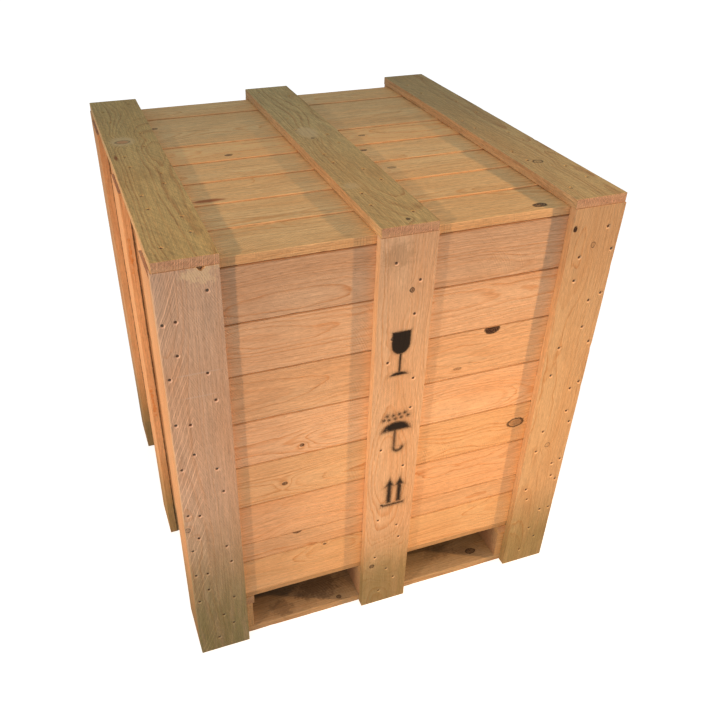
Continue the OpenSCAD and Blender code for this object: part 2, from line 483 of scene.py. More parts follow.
def pit_plug(top, out, dice):
    """The rings of one pit's plug: ragged down to the surface, and round below it."""
    along = int(np.abs(out).argmax())
    side_a, side_b = np.eye(3)[(along + 1) % 3], np.eye(3)[(along + 2) % 3]
    turns = [2 * math.pi * k / PIT_SIDES for k in range(PIT_SIDES)]
    ragged = dice.uniform(*PIT_RAGGED, PIT_SIDES)
    rings = []
    for height, radius in PIT_LEVELS:
        swells = ragged if height >= 0 else np.ones(PIT_SIDES)
        rings.append([
            top + out * (SINK + height)
            + radius * swell * (side_a * math.cos(turn) + side_b * math.sin(turn))
            for swell, turn in zip(swells, turns)
        ])
    return np.array(rings)


def face_outwards(mesh):
    """Turns all faces so that they look out of the solid."""
    work = bmesh.new()
    work.from_mesh(mesh)
    bmesh.ops.recalc_face_normals(work, faces=work.faces)
    work.to_mesh(mesh)
    work.free()


def cut(piece, plug_mesh):
    """Cuts the plugs out of a timber and keeps the result as its mesh."""
    face_outwards(plug_mesh)
    plug = add_object("plug", plug_mesh)
    saw = piece.modifiers.new("pits", "BOOLEAN")
    saw.operation = "DIFFERENCE"
    saw.solver = "EXACT"
    saw.object = plug
    view = bpy.context.evaluated_depsgraph_get()
    made = bpy.data.meshes.new_from_object(piece.evaluated_get(view))
    piece.modifiers.clear()
    made.name = piece.data.name
    piece.data = made
    bpy.data.objects.remove(plug)


print("a pit is about", round(PIT_LEVELS[1][1] * 2000), "mm wide at the surface")

# %% [markdown]
# ## A place in the log
#
# Grain looks right when every face of a board shows the same tree. So each timber gets a made-up
# log: a pith line somewhere beside or under it, along its grain. Each point of the timber stores
# its place in that log, and the wood shader reads growth rings from there. A board cut far from
# the pith shows flames on its face, and its ends show arcs. The number of each timber also sets
# its own tone, because no two boards come from the same tree. Each point stores its place on the
# board too, for the saw marks and the seams. Each face says whether it is a sawn end or a narrow
# face, and in a nail pit how far it leans to the side that faces the lamps. That side gets a
# painted highlight, which also stands for the pale wood that split when the nail was punched.

# %% find the faces of a pit's slope
# Pit slopes that lean to this side face the lamps, and they get a painted highlight that also stands for
# pale split wood.
LIT_SPLIT_SIDE, LIT_SPLIT_GAIN = np.array([-0.65, 0.76, 0.76]), 1.5
PIT_STEEP = 0.24
PIT_DEPTHS, PIT_RADII = (0.0001, 0.0013), (0.0027, 0.006)


def between(values, low, high):
    return (values > low) & (values < high)


def pit_slopes(normals, centres, heads):
    """How far each face leans to the lit side of a pit, for a painted highlight that also stands for pale
    split wood, from 0 to 1. Off the pits it is 0.
    """
    slopes = np.zeros(len(centres))
    for top, out in heads:
        depth = (top - centres) @ out + SINK
        aside = np.linalg.norm(centres - top + np.outer(depth - SINK, out), axis=1)
        tilt = normals - np.outer(normals @ out, out)
        steep = np.linalg.norm(tilt, axis=1)
        near = (steep > PIT_STEEP) & between(depth, *PIT_DEPTHS) & between(aside, *PIT_RADII)
        slopes[near] = np.clip(tilt[near] @ LIT_SPLIT_SIDE / steep[near] * LIT_SPLIT_GAIN, 0, 1)
    return slopes


print("a pit's slope reaches", PIT_RADII[1] * 1000, "mm from its middle")

# %% give a timber its log, its tone and its ends
ALONG_THE_LOG = 40
LIGHTER, WARMER = 0.06, 0.04
FACES_THAT_WAY = 0.8


def mark_wood(piece, grain, dice, pith, shade, heads):
    """Stores the log place, the place on the board, the tone and the kinds of face on the mesh."""
    mesh = piece.data
    across, up, along = AXES[grain]
    spots = np.empty(len(mesh.vertices) * 3, np.float32)
    mesh.vertices.foreach_get("co", spots)
    spots = spots.reshape(-1, 3)
    middle, size = (spots.min(0) + spots.max(0)) / 2, np.ptp(spots, axis=0)
    wide, thick = (across, up) if size[across] > size[up] else (up, across)
    log = np.stack([
        spots[:, wide] - middle[wide] + pith[0],
        spots[:, thick] - middle[thick] + pith[1],
        spots[:, along] - middle[along] + dice.uniform(-ALONG_THE_LOG, ALONG_THE_LOG),
    ], axis=1).astype(np.float32)
    store(mesh, "log", log)
    store(mesh, "board", log - np.array([pith[0], pith[1], 0], np.float32))
    store(mesh, "half_width", np.full(len(spots), size[wide] / 2))

    light, warm = dice.uniform(-LIGHTER, LIGHTER), dice.uniform(-WARMER, WARMER)
    tone = np.array(shade) * (1 + light) * np.array([1 + warm, 1, 1 - warm])
    store(mesh, "tone", np.tile(tone, (len(spots), 1)))

    normals = np.array([tuple(p.normal) for p in mesh.polygons])
    centres = np.array([tuple(p.center) for p in mesh.polygons])
    store(mesh, "sawn_end", np.abs(normals[:, along]) > FACES_THAT_WAY, "FACE")
    store(mesh, "narrow", np.abs(normals[:, wide]) > FACES_THAT_WAY, "FACE")
    store(mesh, "pit", pit_slopes(normals, centres, heads), "FACE")


print("a timber's tone changes by up to", round(LIGHTER * 100), "percent")

# %% [markdown]
# One front batten has a chip torn out of its top edge, just under the lid. It is a small wedge
# that is cut out as the pits are. Some timbers are lighter, darker or greyer than the rest, and
# they get a shade of their own. The blocks, bearers and deck boards of the base are darkened as
# painted shade, since they lie in the shade under the deck.

# %% shape the torn wedge
TORN_RIM = [(-0.3350, 0.8715), (-0.3195, 0.8715), (-0.3235, 0.8660), (-0.3270, 0.8632), (-0.3310, 0.8655)]
TORN_REACH = (-0.402, -0.391)


def torn_wedge():
    """The plug that tears the chip out of the left front batten."""
    return closed_mesh("torn_wedge", [np.array([[(x, y, z) for x, z in TORN_RIM] for y in TORN_REACH])])


print("the chip is", round((TORN_RIM[1][0] - TORN_RIM[0][0]) * 1000, 1), "mm wide at the top")

# %% choose the shades
SHADES = {
    "front_batten_left": (0.81, 0.87, 1.10),
    "front_batten_middle": (0.88, 0.96, 1.12),
    "front_batten_right": (0.89, 0.95, 0.96),
    "front_board_1": (0.95, 0.98, 1.10),
    "front_board_2": (1.06, 1.10, 1.22),
    "front_board_3": (1.04, 1.06, 1.12),
    "front_board_4": (1.10, 1.10, 1.18),
    "front_board_5": (1.06, 1.04, 1.00),
    "front_board_6": (1.00, 1.00, 1.05),
    "front_board_7": (0.97, 0.97, 1.00),
    "front_board_8": (1.08, 1.06, 0.98),
    "lid_batten_left": (0.82, 0.84, 0.54),
    "lid_batten_middle": (0.76, 0.84, 0.61),
    "lid_batten_right": (0.78, 0.84, 0.63),
    "bottom_boards": (0.73, 0.84, 1.03),
    # Painted shade: these hidden parts of the base lie in the shade under the deck.
    "blocks": (0.78, 0.76, 0.72),
    "bearers": (0.70, 0.66, 0.60),
    "deck_boards": (0.62, 0.58, 0.52),
    "lid_board_": (1.21, 1.21, 0.94),
    "left_": (1.04, 0.88, 0.78),
}


def shade_of(node):
    """The shade of a timber, found by how its name starts."""
    return next((shade for start, shade in SHADES.items() if node.startswith(start)), (1, 1, 1))


print("shades:", len(SHADES))

# %% dress one timber
# The base is knocked about most. One long edge of each lid board lies low, which opens the seam.
WEAR = {"bottom_boards": 2, "blocks": 2, "bearers": 1.5}
FALL = {"lid_board": 0.0018}
PITH_ASIDE, PITH_AWAY = 0.045, (0.035, 0.085)
TOUCHING = 1e-5


def dress(name, node, part, grain, slot, material, seed):
    """Builds the worn timber that stands for a CAD solid."""
    dice = np.random.default_rng(seed)
    low, high = part.min(0), part.max(0)
    rings = timber_rings(low, high, grain, dice, WEAR.get(node, 1), FALL.get(slot, 0))
    piece = add_object(name, timber_mesh(name, rings))
    face_outwards(piece.data)
    inside = [
        (top, out) for top, out in nail_heads
        if all(a - TOUCHING < t < b + TOUCHING for a, t, b in zip(low, top, high))
    ]
    if inside:
        cut(piece, closed_mesh("pit_plugs", [pit_plug(top, out, dice) for top, out in inside]))
    if node == "front_batten_left":
        cut(piece, torn_wedge())
    pith = (dice.uniform(-PITH_ASIDE, PITH_ASIDE), dice.choice([-1, 1]) * dice.uniform(*PITH_AWAY))
    mark_wood(piece, grain, dice, pith, shade_of(node), inside)
    piece.data.materials.clear()
    piece.data.materials.append(material)
    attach(piece, frame["nodes"][node]["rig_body"])
    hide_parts(node)


print("pith, mm above or below a board's middle:", [round(away * 1000) for away in PITH_AWAY])

# %% [markdown]
# ## Growth rings
#
# Each year a pine adds a wide pale band and a narrow dark one, and the dark one ends sharply where
# the next spring starts. The ring's number is the distance from the pith, divided by a year's
# width. The trunk isn't a perfect pole, so slow noise bends that distance, and where a face just
# touches a bent ring it shows the flames and ovals of flat-sawn pine.

# %% make the growth ring group
rings_tree, b, given, out = new_group(
    "growth_rings",
    {"Log": ORIGIN, "Bend": 0, "Ring Width": 0.004, "Wobble": 0.008},
    ["Late Wood", "Fibre", "Board Tone"],
)
log, wobble = given["Log"], given["Wobble"]
u, v, _ = b.split(log)
radius = b.math("SQRT", b.total(b.product(u, u), b.product(v, v)))
slow_bend = b.swing(b.noise(log, (5, 5, 2.6), 1), b.product(wobble, 4))
quick_bend = b.swing(b.noise(log, (26, 26, 9), 3), b.product(wobble, 0.7))
bent = b.total(radius, slow_bend, quick_bend, given["Bend"])

# Good and bad years come in runs, so the rings aren't evenly wide.
years = b.math("DIVIDE", bent, given["Ring Width"])
uneven = b.node("ShaderNodeTexNoise", noise_dimensions="1D")
uneven = b.give(uneven, W=b.product(years, 0.45), Scale=1)["Fac"]
years = b.total(years, b.product(uneven, 2.2))

# Late wood comes on slowly and stops sharply. Each year it is as dark as chance has it.
season = b.math("FRACT", years)
late = b.product(b.math("POWER", season, 4.5), b.fade(season, 1, 0.90))
late = b.product(late, b.fade(b.chance(b.math("FLOOR", years)), 0, 1, 0.35, 1))
late = b.product(late, b.fade(b.noise(log, (160, 160, 9), 3), 0.30, 0.62, 0.45, 1))

coarse = b.noise(log, (420, 420, 14), 3, 0.6)
fine = b.noise(log, (1300, 1300, 90), 1)
b.deliver(
    out, Late_Wood=b.math("MULTIPLY", late, 1.9, clamp=True),
    Fibre=b.product(b.total(coarse, fine), 0.5), Board_Tone=b.noise(log, (14, 14, 2.2)),
)

# %% [markdown]
# ## Knots
#
# A knot is where a branch grew out: hard mottled wood, a thin dark rim of bark, and grain that
# flows round it. The group works on one knot and hands its sums on, so knots can be put in a row,
# one group after another. `Pull` bends the growth rings near the knot. With no darkness and only
# pull, it makes the pale ovals where a branch lay just under the face.

# %% make the knot group
knot_tree, b, given, out = new_group(
    "knot",
    {
        "Place": ORIGIN, "Centre": ORIGIN, "Size": UNIT, "Pull": 0.008, "Dark": 1, "Edge": 1,
        "Top": 9, "Core": 0, "Rim": 0, "Bend": 0,
    },
    ["Core", "Rim", "Bend"],
)
place = given["Place"]
away = b.vector("DIVIDE", b.vector("SUBTRACT", place, given["Centre"]), given["Size"])
distance = b.total(b.vector("LENGTH", away), b.swing(b.noise(place, 230, 3), 0.5))
# `Top` is the seam where the board ends: above it, every point counts as far away.
beyond = b.product(b.less(b.split(place)[2], given["Top"]), 1000)
distance = b.most(distance, b.total(beyond, 1.6))
mottled = b.fade(b.noise(place, 420), 0.40, 0.62, 0.62, 1)
core = b.product(b.fade(distance, 1.02, 0.88), mottled, given["Dark"])
rim = b.product(b.fade(distance, 0.80, 0.98), b.fade(distance, 1.26, 1.04), given["Edge"])
flow = b.math("EXPONENT", b.product(distance, distance, -0.11))
b.deliver(
    out, Core=b.most(core, given["Core"]), Rim=b.most(rim, given["Rim"]),
    Bend=b.total(b.product(flow, given["Pull"]), given["Bend"]),
)

# %% [markdown]
# The walls that the photographer didn't show still need knots. Here a cell pattern in the log
# drops one knot into a few of its cells.

# %% make the scattered knot group
scatter_tree, b, given, out = new_group(
    "scattered_knots", {"Log": ORIGIN, "Rare": 0.8}, ["Core", "Rim", "Bend"]
)
log = given["Log"]
cells = b.node("ShaderNodeTexVoronoi")
cells = b.give(cells, Vector=b.vector("MULTIPLY", log, (9, 9, 3.6)), Scale=1)
chosen = b.math("GREATER_THAN", b.split(cells["Color"])[0], given["Rare"])
distance = b.total(cells["Distance"], b.swing(b.noise(log, 170), 0.035))
flow = b.math("EXPONENT", b.product(distance, distance, -22))
b.deliver(
    out, Core=b.product(b.fade(distance, 0.085, 0.072), chosen),
    Rim=b.product(b.fade(distance, 0.060, 0.080), b.fade(distance, 0.125, 0.088), chosen),
    Bend=b.product(flow, 0.012, chosen),
)

# %% [markdown]
# ## Saw marks
#
# The boards came off a circular saw and weren't planed. Its teeth leave shallow arcs across the
# grain, which fade in and out as the board shivered past the blade. Where a board was turned and
# sawn again, the marks fold back like a herringbone.

# %% make the saw mark group
saw_tree, b, given, out = new_group(
    "saw_marks",
    {
        "Board": ORIGIN, "Lean": 0.8, "Arc": 2, "Spacing": 0.006, "Cover": 0.5, "Fold": -1,
        "One Side": 0, "Thin": 6,
    },
    ["Ridge"],
)
u, _, s = b.split(given["Board"])
from_fold = b.less(u, given["Fold"])
q = b.total(
    s,
    b.product(b.math("ABSOLUTE", from_fold), given["Lean"]),
    b.product(u, u, given["Arc"]),
    b.product(b.noise(given["Board"], 14), 0.022),
)
teeth = b.math("DIVIDE", q, given["Spacing"])
wave = b.math("ABSOLUTE", b.math("COSINE", b.product(teeth, math.pi)))
before_fold = b.fade(from_fold, 0.012, -0.012)
kept_side = b.total(1, b.product(given["One Side"], b.less(before_fold, 1)))
ridge = b.product(b.math("POWER", wave, given["Thin"]), kept_side)
shiver = b.noise(given["Board"], (9, 9, 5))
shiver = b.fade(shiver, b.less(0.85, given["Cover"]), b.less(1.1, given["Cover"]))
b.deliver(out, Ridge=b.product(ridge, shiver, b.chance(b.math("ROUND", teeth))))

# %% [markdown]
# ## Handling
#
# A crate gets rubbed, stacked and dragged. Broad stains, grime near the floor and a little dust
# are kept as masks, and each wood takes as much of them as it needs. Grime near the floor is
# smeared up and down, and it's thin, so the grain still shows through it. `Inside` is painted
# shade for the base: the wood deep between the blocks is darker, as it lies out of the light.

# %% make the handling group
handling_and_shade_tree, b, given, out = new_group(
    "handling", {"Place": ORIGIN, "Reach": 0.3}, ["Stain", "Foot Grime", "Specks", "Inside"]
)
place = given["Place"]
x, y, z = b.split(place)
low_down = b.fade(z, given["Reach"], 0.06)
smeared = b.noise(place, (60, 60, 7), 6, 0.7)
# Inside is painted shade: it grows from the base's outer faces inwards.
outer = b.most(b.math("ABSOLUTE", x), b.math("ABSOLUTE", y))
b.deliver(
    out, Stain=b.fade(b.noise(place, 5.5, 4, 0.6), 0.42, 0.72),
    Foot_Grime=b.product(low_down, b.fade(smeared, 0.32, 0.58, 0.72, 1)),
    Specks=b.fade(b.noise(place, 330), 0.66, 0.74), Inside=b.fade(outer, 0.385, 0.31),
)

# %% [markdown]
# A patch is one place where the face differs: a torn spot, a pale haze where the grain dips,
# painted shade in a corner or at a batten's foot, or a smudge from a glove. It is a soft oval
# with a ragged edge.

# %% make the patch group
patch_tree, b, given, out = new_group(
    "patch", {"Place": ORIGIN, "Centre": ORIGIN, "Size": UNIT, "Ragged": 1}, ["Mask"]
)
away = b.vector("DIVIDE", b.vector("SUBTRACT", given["Place"], given["Centre"]), given["Size"])
ragged = b.swing(b.noise(given["Place"], 95, 5, 0.7), given["Ragged"])
b.deliver(out, Mask=b.fade(b.total(b.vector("LENGTH", away), ragged), 1.05, 0.45))

# %% [markdown]
# ## Handling signs
#
# The middle front batten carries three plain signs, sprayed through a stencil: handle with care,
# keep dry and this way up. They are drawn here from simple shapes. Each shape gives a distance in
# millimetres, less than nothing inside it, so shapes join by the smaller distance and a soft step
# makes the paint. A little noise in the distance gives the sprayed edge.

# %% set out the shapes of the signs
signs_tree, b, given, out = new_group("handling_signs", {"Place": ORIGIN}, ["Paint"])
x, _, z = b.split(b.vector("MULTIPLY", given["Place"], (1000, 1000, 1000)))


def span(line, low, high):
    return b.less(b.math("ABSOLUTE", b.less(line, (low + high) / 2)), (high - low) / 2)


def bar(left, right, low, high):
    return b.most(span(x, left, right), span(z, low, high))


def disc(centre_x, centre_z, wide, tall):
    side = b.math("DIVIDE", b.less(x, centre_x), wide)
    rise = b.math("DIVIDE", b.less(z, centre_z), tall)
    length = b.math("SQRT", b.total(b.product(side, side), b.product(rise, rise)))
    return b.product(b.less(length, 1), min(wide, tall))


def above(level):
    return b.less(level, z)


def below(level):
    return b.less(z, level)


def joined(*shapes):
    return b.chain("MINIMUM", *shapes)


def arrow(middle, foot, tip):
    """A shaft with a pointed head."""
    side = b.math("ABSOLUTE", b.less(x, middle))
    slope = b.less(side, b.product(b.less(tip, z), 0.46))
    return joined(bar(middle - 4.8, middle + 4.8, foot, tip - 12), b.most(slope, above(tip - 20)))


print("the shapes are ready")

# %% draw the signs
DROPS = [(-25, 510), (-19, 518), (-15, 509), (-7, 517), (-3, 509), (5, 518), (9, 510), (16, 519), (22, 512)]
SOFT_BELOW = (600, 530)

bowl = b.most(joined(bar(-20, 15, 670, 696), disc(-2.5, 671, 17.5, 21)), below(696))
glass = joined(bowl, bar(-4, 0, 612, 652), b.most(disc(-2.5, 606, 16, 7), above(606)))
drops = joined(*[disc(side, rise, 3, 2.8) for side, rise in DROPS])
canopy = b.most(disc(0.4, 481, 28, 21), above(481))
hook = b.most(b.less(b.math("ABSOLUTE", disc(6.5, 440, 8.5, 8.5)), 2.8), below(441))
umbrella = joined(drops, canopy, bar(-4, 0.4, 438, 484), hook)
arrows = joined(arrow(-4, 297, 362), arrow(17, 297, 361), bar(-19, 28, 289.5, 294.5))
signs = joined(glass, umbrella, arrows)
spray = b.swing(b.noise(given["Place"], 700, 3), 7)
# The two lower signs have softer edges.
signs = b.math("DIVIDE", signs, b.fade(z, *SOFT_BELOW, 1, 2))
specks = b.fade(b.noise(given["Place"], 1500, 1), 0.45, 0.62, 0, 0.4)
drift = b.product(b.fade(signs, 7, 0), specks)
b.deliver(out, Paint=b.most(b.fade(b.total(signs, spray), 2.4, -1.8), drift))

# %% [markdown]
# ## The wood itself
#
# One recipe makes every pine finish on the crate. It mixes pale and dark wood by the growth rings,
# then lays knots, saw marks, wear and grime over them. The numbers say how strong each of them is
# on that part of the crate.

# %% name the colours
def srgb(*values):
    """A colour as screens give it, 0 to 255, as the linear colour that shaders use."""
    shares = [v / 255 for v in values]
    return tuple(v / 12.92 if v < 0.04 else ((v + 0.055) / 1.055) ** 2.4 for v in shares) + (1,)


PALE_WOOD = srgb(230, 189, 145)
DARK_WOOD = srgb(200, 130, 70)
WARM_WOOD = srgb(222, 164, 112)
KNOT_CORE = srgb(64, 36, 17)
KNOT_RIM = srgb(44, 26, 13)
END_WOOD = srgb(200, 152, 128)
SCRATCHED_END = srgb(150, 108, 80)
RUBBED_WOOD = srgb(232, 196, 152)
TORN_WOOD = srgb(255, 219, 160)
CHIPPED = srgb(216, 134, 58)
STAIN = srgb(84, 52, 32)
PALE_HAZE = srgb(255, 215, 186)
HAZE = srgb(236, 204, 166)
# Painted shade that darkens the middle front batten's foot.
PAINTED_FOOT_SHADE = srgb(168, 142, 98)
# Painted shade for the corners beside the left wall's battens.
GAP_SHADE = srgb(58, 50, 42)
SMUDGE = srgb(140, 98, 58)
RED_WOOD = srgb(160, 84, 42)
RED_KNOT = srgb(232, 166, 134)
RED_GRAIN = srgb(170, 90, 46)
SEAM_DIRT = srgb(92, 54, 30)
LIT_SEAM = srgb(255, 204, 156)
# Painted shade deep inside the base.
INSIDE_SHADE = srgb(58, 36, 20)
# Painted highlight on the pit slopes that face the lamps, also standing for pale split wood.
LIT_PIT_WALL = srgb(255, 208, 164)
SPECK = srgb(120, 84, 54)
PAINT = srgb(15, 12, 9)
BARE_STEEL, RUST = srgb(128, 118, 104), srgb(96, 66, 46)
GRIME = (0.40, 0.51, 0.33)
print("pale wood in linear light:", [round(v, 2) for v in PALE_WOOD[:3]])

# %% write the steps of the recipe
def saw(strength, lean, arc, spacing, cover, fold=-1, one_side=0, thin=6):
    """The marks of one saw. The first fold lies off the board, so nothing is folded."""
    marks = dict(Lean=lean, Arc=arc, Spacing=spacing, Cover=cover, Fold=fold, One_Side=one_side, Thin=thin)
    return strength, marks


def find_knots(b, place, log, knots, rare_knots):
    """The masks and the pull of all knots. Each knot takes the sums of the one before it."""
    sums = {"Core": 0, "Rim": 0, "Bend": 0}
    if rare_knots is not None:
        found = b.group(scatter_tree, Log=log, Rare=rare_knots)
        sums = {key: found[key] for key in sums}
    for centre, size, pull, dark, edge, top in knots:
        row = dict(Centre=centre, Size=size, Pull=pull, Dark=dark, Edge=edge, Top=top)
        found = b.group(knot_tree, Place=place, **row, **sums)
        sums = {key: found[key] for key in sums}
    return sums["Core"], sums["Rim"], sums["Bend"]


def run_saws(b, board, narrow, saws):
    """How far the saw marks brighten the wood, and where they score it."""
    bright, scored = 0, 0
    for strength, marks in saws:
        ridge = b.group(saw_tree, Board=board, **marks)["Ridge"]
        bright = b.total(bright, b.product(ridge, b.fade(narrow, 0, 1, strength, strength * 0.2)))
        scored = b.most(scored, ridge)
    return bright, scored


def sawn_ends(b, colour, end, log):
    """Dull wood on the sawn ends, with the blade's slanting scratches."""
    u, v, _ = b.split(log)
    slant = b.node("ShaderNodeCombineXYZ", b.product(b.less(u, v), 620), b.product(b.total(u, v), 60))
    scratches = b.fade(b.noise(slant.outputs[0], 1), 0.40, 0.62)
    colour = b.lay(colour, END_WOOD, end, 0.6)
    return b.lay(colour, SCRATCHED_END, b.product(end, scratches), 0.5)


def at_the_seam(b, place, board, flat, reach):
    """A thin uneven line along the long edges of a board's wide faces."""
    from_edge = b.less(b.stored("half_width", "Fac"), b.math("ABSOLUTE", b.split(board)[0]))
    from_edge = b.total(from_edge, b.product(b.noise(place, 90), 0.001))
    return b.product(b.fade(from_edge, reach, reach * 0.4), flat)


print("the steps are written")

# %% write the recipe for pine
def pine(name, knots, patches, ring_width, wobble, rings, saws, grime=(0, 0.3), rare_knots=None,
         arris=(RUBBED_WOOD, 0.4), seam=(SEAM_DIRT, 0, 0.002), late_wood=DARK_WOOD,
         fibre=1.35, inside=0, signs=None):
    """A pine finish. Grime gives its share and how high it reaches. Arris and seam give a colour
    and its share, and a seam its width too."""
    wood, b, shader = new_material(name)
    place = b.node("ShaderNodeTexCoord").outputs["Object"]
    log, board = b.stored("log"), b.stored("board")
    end, narrow = b.stored("sawn_end", "Fac"), b.stored("narrow", "Fac")

    core, rim, bend = find_knots(b, place, log, knots, rare_knots)
    grown = b.group(rings_tree, Log=log, Bend=bend, Ring_Width=ring_width, Wobble=wobble)
    bright, scored = run_saws(b, board, narrow, saws)
    used = b.group(handling_and_shade_tree, Place=place, Reach=grime[1])

    # Clean wood: its rings, its sawn ends, its fibres and the saw's marks.
    colour = b.lay(PALE_WOOD, late_wood, grown["Late Wood"], rings)
    colour = b.blend(b.fade(grown["Board Tone"], 0.35, 0.75, 0, 0.45), colour, WARM_WOOD)
    colour = sawn_ends(b, colour, end, log)
    colour = b.vector("MULTIPLY", colour, b.total(b.swing(grown["Fibre"], fibre), bright, 1))

    # What happened to it since.
    for centre, size, ragged, tint, share in patches:
        spot = b.group(patch_tree, Place=place, Centre=centre, Size=size, Ragged=ragged)["Mask"]
        colour = b.lay(colour, tint, spot, share)
    flat = b.less(1, b.most(narrow, end))
    for tint, mask, share in (
        (DARK_WOOD, used["Stain"], 0.14),
        (SPECK, used["Specks"], 0.25),
        # On the lid this line carries a painted highlight on the board edges.
        (arris[0], b.stored("worn", "Fac"), arris[1]),
        (seam[0], at_the_seam(b, place, board, flat, seam[2]), seam[1]),
        # Painted highlight on the pit slopes that face the lamps, partly pale split wood.
        (LIT_PIT_WALL, b.stored("pit", "Fac"), 0.9),
        (None, used["Foot Grime"], grime[0]),
        (KNOT_CORE, core, 0.9),
        (KNOT_RIM, rim, 0.85),
        # Painted shade deep inside the base, between its blocks.
        (INSIDE_SHADE, used["Inside"], inside),
    ):
        # Grime has no colour of its own. It darkens what it lies on.
        colour = b.lay(colour, tint or b.vector("MULTIPLY", colour, GRIME), mask, share)

    # The timber's own tone is weak on its ends and its narrow faces. Paint comes last of all.
    plain = b.most(b.product(end, 0.95), b.product(narrow, 0.6))
    colour = b.vector("MULTIPLY", colour, b.blend(plain, b.stored("tone"), (1, 1, 1, 1)))
    if signs is not None:
        colour = b.lay(colour, PAINT, b.group(signs, Place=place)["Paint"], 0.98)
    rough = b.total(0.60, b.product(grown["Fibre"], 0.26), b.product(core, -0.12))
    height = b.total(
        b.product(grown["Fibre"], 0.9), b.product(grown["Late Wood"], 0.35),
        b.product(scored, 0.5), b.product(rim, -0.6),
    )
    relief = b.give(b.node("ShaderNodeBump"), Distance=0.0014, Strength=0.7, Height=height)
    b.give(shader, Base_Color=colour, Roughness=rough, Specular_IOR_Level=0.3, Normal=relief["Normal"])
    print(name, "has", len(wood.node_tree.nodes), "nodes and", len(knots), "placed knots")
    return wood


print("the recipe is written")

# %% [markdown]
# ## Knots and patches where the crate has them
#
# Knots are what one remembers of a board, so the ones on the front and on the lid lie where they
# were found. Each line gives a place in millimetres, the knot's half width and half height, how
# strongly it bends the grain, how dark it is, and how dark its rim is. A knot that was sawn through
# has one more number: the height of the seam that cuts it off.

# %% find the faces that carry knots
def level(node, axis, pick):
    """How far a CAD node reaches along one axis, in millimetres."""
    return pick(point[axis] for point in frame["nodes"][node].bound_box) * 1000


WALL_FACE = round(level("front_board_1", 1, min))
BATTEN_FACE = round(level("front_batten_left", 1, min))
LID_BOARD_FACE = round(level("lid_board_1", 2, max))
LID_BATTEN_FACE = round(level("lid_batten_left", 2, max))
BASE_FACE = round(level("bottom_boards", 2, max))
# The top of each front board, from the topmost down.
SEAMS = [level(f"front_board_{n + 1}", 2, max) for n in range(8)]
print("front boards end at", [round(top) for top in SEAMS], "mm")

# %% list the knots
NO_SEAM = 9000
KNOT_DEPTH, PATCH_DEPTH = 30, 20


def on_face(face, depth, x, far, half, tall):
    """Centre and half sizes in metres. Front faces lie at less than nothing, level ones above it."""
    centre = (x, face, far) if face < 0 else (x, far, face)
    size = (half, depth, tall) if face < 0 else (half, tall, depth)
    return tuple(value / 1000 for value in centre), tuple(value / 1000 for value in size)


def knots_on(face, *rows):
    """Knots on one face."""
    knots = []
    for x, far, half, tall, pull, dark, edge, *seam in rows:
        spot = on_face(face, KNOT_DEPTH, x, far, half, tall)
        knots.append((*spot, pull / 1000, dark, edge, (seam[0] if seam else NO_SEAM) / 1000))
    return knots


KNOTS = {
    "front wall": knots_on(
        WALL_FACE,
        (-175, 482, 4, 3, 5, 1, 1),
        (-209, 399, 5, 3.6, 6, 1, 0.9),
        (-130, 209, 3, 2.4, 4, 1, 0.8),
        (-187, 266, 8, 5, 6, 1, 1, SEAMS[6]),
        (-163, 295, 34, 9, 9, 0, 0),
        (-180, 268, 17, 8, 14, 0, 0),
        (185, 652, 14, 9, 8, 1.5, 1, SEAMS[2]),
        (124, 579, 8, 2.5, 5, 0.6, 0.5),
        (273, 414, 17, 10, 10, 0.58, 1),
    ),
    "front battens": knots_on(
        BATTEN_FACE,
        (-396, 358, 5, 5, 8, 0.4, 0.9),
        (10, 772, 4, 4.5, 6, 0.9, 1),
        (-31, 121, 5, 5, 6, 0.8, 1),
        (-4, 128, 13, 22, 34, 0, 0),
        (306, 834, 3.8, 5.5, 4, 1.6, 0.5),
        (350, 799, 4, 5, 5, 0.25, 0.9),
        (350, 347, 5.5, 5.5, 7, 0.15, 0.7),
    ),
    "lid boards": knots_on(
        LID_BOARD_FACE,
        (-289, 235, 8, 4, 6, 1, 1),
        (-180, 34, 7, 4, 6, 1, 1),
        (105, 63, 7, 4, 7, 0.8, 0.8),
        (75, -19, 7, 4, 7, 1, 1),
        (90, -122, 8, 5, 9, 0.6, 0.4),
        (254, -362, 12, 7, 9, 1.1, 1),
        (-187, 167, 30, 10, 9, 0, 0),
    ),
    "lid battens": knots_on(
        LID_BATTEN_FACE,
        (-365, 117, 13, 9, 14, 0, 0.6),
        (-346, 290, 24, 30, 12, 0, 0),
        (-13, 27, 3, 3, 14, 0.9, 1),
        (4, -378, 3.5, 3.5, 6, 1, 1),
        (335, -223, 9, 7, 9, 0.30, 0.9),
    ),
    "base": knots_on(
        BASE_FACE,
        (240, -352, 11, 7, 6, 0.9, 1),
        (-92, -372, 5, 4, 5, 0.9, 1),
    ),
}
print("knots placed:", {part: len(knots) for part, knots in KNOTS.items()})

# %% [markdown]
# A patch has its place and half sizes, how ragged its edge is, its colour and its share. Painted
# shade lies in the corners along the left wall's battens, and one of those battens is chipped on
# its side.

# %% list the patches
def patches_on(face, *rows):
    """Patches on one face."""
    return [(*on_face(face, PATCH_DEPTH, *row[:4]), *row[4:]) for row in rows]


